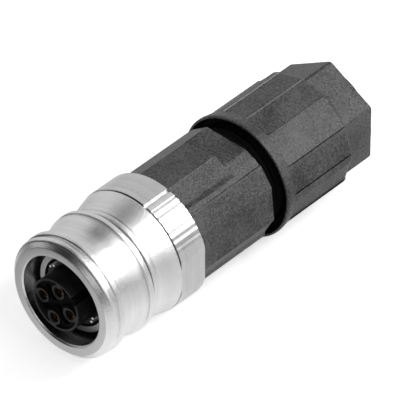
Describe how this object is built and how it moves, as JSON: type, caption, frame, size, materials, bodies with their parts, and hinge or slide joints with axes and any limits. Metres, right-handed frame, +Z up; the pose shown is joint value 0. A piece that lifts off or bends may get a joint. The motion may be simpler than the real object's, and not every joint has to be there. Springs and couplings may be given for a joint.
{
  "type": "m12 connector",
  "caption": "Straight field-wireable M12 female cable connector with a push-pull metal sleeve and a black clamp nut.",
  "frame": {"origin": "centre of the coupling sleeve's front face", "axes": "+Y along the connector's axis from the mating face to the cable end, +Z up as it lies on its side"},
  "size_m": [0.0194, 0.0582, 0.0194],
  "materials": {
    "nickel": "turned and nickel plated, bright",
    "black_plastic": "glass-filled nylon, fine moulded grain",
    "insert_plastic": "smooth black moulding",
    "grey_plastic": "smooth moulding",
    "contact_metal": "gold-flashed brass",
    "spring_steel": "stainless",
    "rubber": "moulded rubber"
  },
  "bodies": {
    "housing": {"carrier": "nickel", "insert": "insert_plastic", "insert_clip": "nickel", "retainer_ring": "spring_steel", "contact_1": "contact_metal", "contact_2": "contact_metal", "contact_3": "contact_metal", "contact_4": "contact_metal", "latch_ring": "nickel", "stop_ring": "spring_steel", "sleeve_spring": "spring_steel", "face_seal": "rubber", "wrench_ring": "nickel", "barrel": "black_plastic", "barrel_seal": "rubber", "wire_guide": "grey_plastic", "cable_seal": "rubber", "clamp_cage": "black_plastic"},
    "sleeve": {"coupling_sleeve": "nickel"},
    "slip_ring": {"thrust_ring": "spring_steel"},
    "nut": {"clamp_nut": "black_plastic"}
  },
  "joints": [
    {"name": "sleeve_slide", "type": "slide", "parent": "housing", "child": "sleeve", "axis": [0, 1, 0], "range_m": [0, 0.0008], "stiffness_N_per_m": 2000, "springref_m": -0.0015, "deforming": ["sleeve_spring"]},
    {"name": "nut_advance", "type": "slide", "parent": "housing", "child": "slip_ring", "axis": [0, 1, 0], "range_m": [-0.003, 0.003]},
    {"name": "nut_turn", "type": "hinge", "parent": "slip_ring", "child": "nut", "pos_m": [0, 0.05, 0], "axis": [0, 1, 0], "range_deg": [-720.5, 720.5]}
  ],
  "couplings": [
    {"joint": "nut_turn", "follows": "nut_advance", "rad_per_m": 4188.8}
  ]
}
